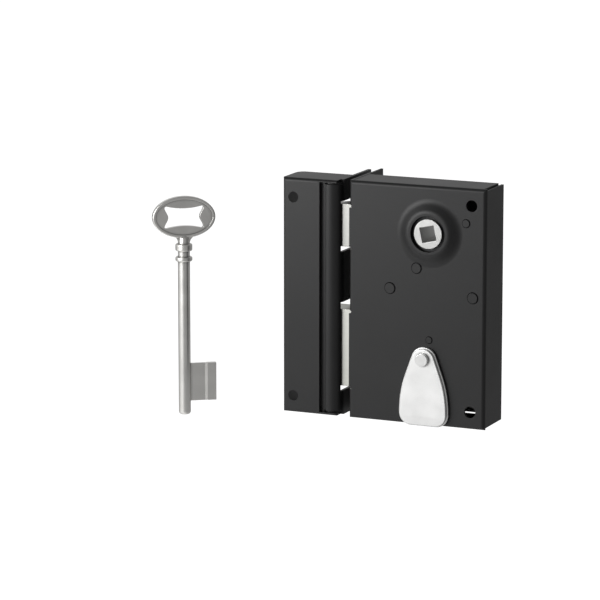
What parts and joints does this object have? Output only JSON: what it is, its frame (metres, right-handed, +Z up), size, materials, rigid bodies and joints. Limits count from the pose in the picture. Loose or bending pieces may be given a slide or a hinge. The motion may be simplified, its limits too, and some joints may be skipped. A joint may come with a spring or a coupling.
{
  "type": "rim box lock",
  "caption": "Rim box lock for a door's face: folded steel case with spring latch, dead bolt, square follower and swinging key cover, with its box keeper and key.",
  "frame": {"origin": "where the follower's axis meets the door's face, in the plane of the back plate", "axes": "+X from the door's edge into the door, +Y from the room into the door, +Z up"},
  "size_m": [0.1705, 0.0429, 0.1209],
  "materials": {
    "black_sheet": "fine satin black powder coat on folded steel",
    "keeper_black": "the same satin black powder coat",
    "post_steel": "steel, its staked ends painted black with the case",
    "zinc_sheet": "zinc-plated steel sheet",
    "screw_steel": "zinc-plated steel",
    "follower_zinc": "bright zinc alloy",
    "latch_nickel": "satin nickel plate",
    "bolt_nickel": "satin nickel plate",
    "tumbler_steel": "plain sheet steel",
    "spring_wire": "drawn spring wire",
    "bush_nylon": "black nylon",
    "cover_nickel": "cast zinc alloy, satin nickel plate",
    "rivet_nickel": "nickel-plated steel",
    "key_nickel": "cast zinc alloy, satin nickel plate"
  },
  "bodies": {
    "case": {"case_shell": "black_sheet", "back_plate": "zinc_sheet", "back_plate_screws": "screw_steel", "pillar_posts": "post_steel", "latch_post": "post_steel", "follower_spring_post": "post_steel", "dead_bolt_post": "post_steel", "follower_bush": "bush_nylon", "follower_spring": "spring_wire", "latch_spring": "spring_wire", "tumbler_spring": "spring_wire", "key_cover_rivet": "rivet_nickel", "key_cover_washer": "screw_steel", "keeper_box": "keeper_black", "keeper_strike": "keeper_black"},
    "follower": {"follower": "follower_zinc"},
    "latch": {"latch_bolt": "latch_nickel"},
    "dead_bolt": {"dead_bolt": "bolt_nickel"},
    "tumbler": {"tumbler": "tumbler_steel"},
    "key_cover": {"key_cover": "cover_nickel"},
    "key": {"key": "key_nickel"}
  },
  "joints": [
    {"name": "follower_turn", "type": "hinge", "parent": "case", "child": "follower", "pos_m": [0, -0.0122, 0], "axis": [0, 1, 0], "range_deg": [0, 45], "stiffness_Nm_per_rad": 0.4, "springref_deg": -22.92, "deforming": ["follower_spring"]},
    {"name": "latch_slide", "type": "slide", "parent": "case", "child": "latch", "axis": [1, 0, 0], "range_m": [0, 0.012], "deforming": ["latch_spring"]},
    {"name": "dead_bolt_throw", "type": "slide", "parent": "case", "child": "dead_bolt", "axis": [1, 0, 0], "range_m": [0, 0.018]},
    {"name": "tumbler_lift", "type": "hinge", "parent": "case", "child": "tumbler", "pos_m": [0.0213, -0.0155, -0.0285], "axis": [0, 1, 0], "range_deg": [-5.5, 2], "stiffness_Nm_per_rad": 0.05, "springref_deg": -22.92, "deforming": ["tumbler_spring"]},
    {"name": "key_cover_swing", "type": "hinge", "parent": "case", "child": "key_cover", "pos_m": [-0.0019, -0.024, -0.0585], "axis": [0, 1, 0], "continuous": true},
    {"name": "key_lift", "type": "slide", "parent": "case", "child": "key", "axis": [0, 0, 1], "range_m": [0, 0.025]}
  ],
  "couplings": [
    {"joint": "latch_slide", "follows": "follower_turn", "m_per_rad": 0.015279}
  ]
}
